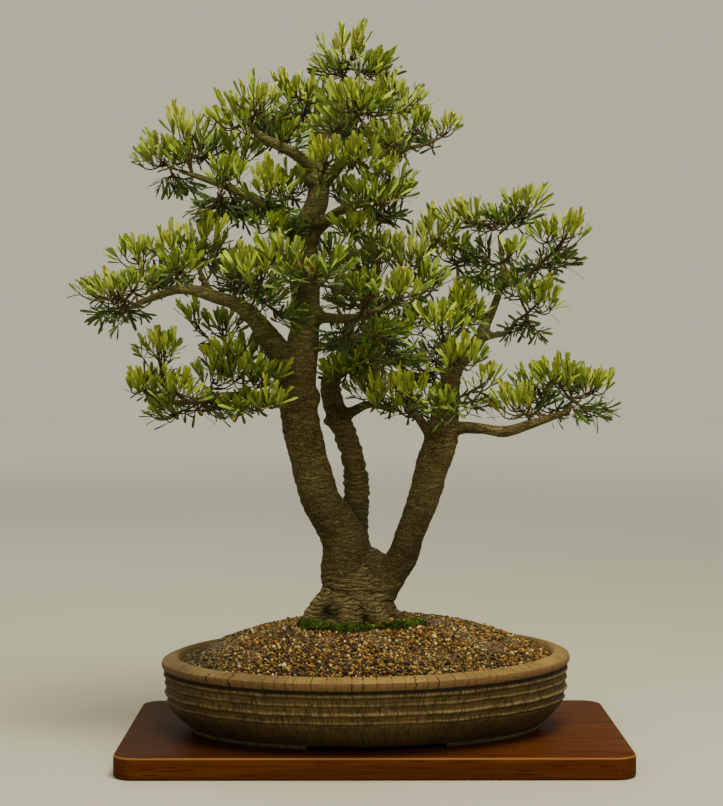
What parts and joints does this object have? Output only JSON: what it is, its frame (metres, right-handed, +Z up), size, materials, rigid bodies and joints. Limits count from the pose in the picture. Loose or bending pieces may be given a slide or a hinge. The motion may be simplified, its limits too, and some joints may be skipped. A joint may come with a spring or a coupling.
{
  "type": "silver banksia bonsai",
  "caption": "Multi-trunked silver banksia bonsai with leafy shoots, rooted in a gravel bed in an oval stoneware pot that rests on a rounded timber display board.",
  "frame": {"origin": "centre of the display board's underside, on the surface that it stands on", "axes": "+Z up along the tree, +X to the right and +Y to the back, seen from the front of the display"},
  "size_m": [0.7219, 0.4281, 0.9505],
  "materials": {
    "board_wood": "semi-gloss",
    "pot_stoneware": "matt unglazed, fired brown",
    "screen_plastic": "matt",
    "gravel": "loose grains, matt",
    "moss": "soft, matt",
    "bark": "rough bark",
    "leaves_young": "leathery, slightly glossy",
    "leaves_mature": "leathery, slightly glossy"
  },
  "bodies": {
    "root": {"display_board": "board_wood", "oval_pot": "pot_stoneware", "drain_screen_left": "screen_plastic", "drain_screen_right": "screen_plastic", "gravel_bed": "gravel", "moss": "moss", "trunk_and_branches": "bark", "spray_apex": "leaves_young", "spray_top_front": "leaves_young", "spray_top_back": "leaves_mature", "spray_top_crest_left": "leaves_young", "spray_top_tip_left": "leaves_young", "spray_top_low_left": "leaves_mature", "spray_top_crest_right": "leaves_young", "spray_right_tip": "leaves_young", "spray_right_upper": "leaves_young", "spray_front_knot": "leaves_young", "spray_inner_right": "leaves_mature", "spray_right_shelf": "leaves_young", "spray_right_shelf_front": "leaves_mature", "spray_right_under": "leaves_mature", "spray_left_tip": "leaves_mature", "spray_left_crest": "leaves_young", "spray_left_shoulder": "leaves_mature", "spray_left_inner": "leaves_mature", "spray_shelf_left_far": "leaves_mature", "spray_shelf_left_crest": "leaves_young", "spray_shelf_left_mid": "leaves_young", "spray_shelf_left_inner": "leaves_mature", "spray_shelf_tip": "leaves_mature", "spray_front_left": "leaves_young", "spray_front_trunk": "leaves_mature", "spray_back_trunk": "leaves_mature", "spray_mid_right_crest": "leaves_mature", "spray_mid_right_front": "leaves_mature", "spray_mid_right_tip": "leaves_young", "spray_mid_right_bright": "leaves_young", "spray_b_top": "leaves_mature", "spray_b_mid": "leaves_mature", "spray_b_rear": "leaves_mature", "spray_b_skirt": "leaves_young", "spray_c_skirt": "leaves_young", "spray_c_rear": "leaves_mature", "spray_c_crest": "leaves_young", "spray_c_face": "leaves_mature", "spray_c_twig": "leaves_mature", "spray_c_peak": "leaves_young", "spray_c_heart": "leaves_mature", "spray_c_right_tip": "leaves_young", "spray_c_right_low": "leaves_mature", "spray_c_side_tip": "leaves_mature", "spray_c_left_tip": "leaves_young", "spray_reach_near": "leaves_young", "spray_reach_tip": "leaves_young", "spray_low_tip": "leaves_mature", "spray_low_crest": "leaves_young", "spray_low_heart": "leaves_mature", "spray_low_inner": "leaves_mature", "spray_low_rise": "leaves_young"}
  },
  "joints": []
}
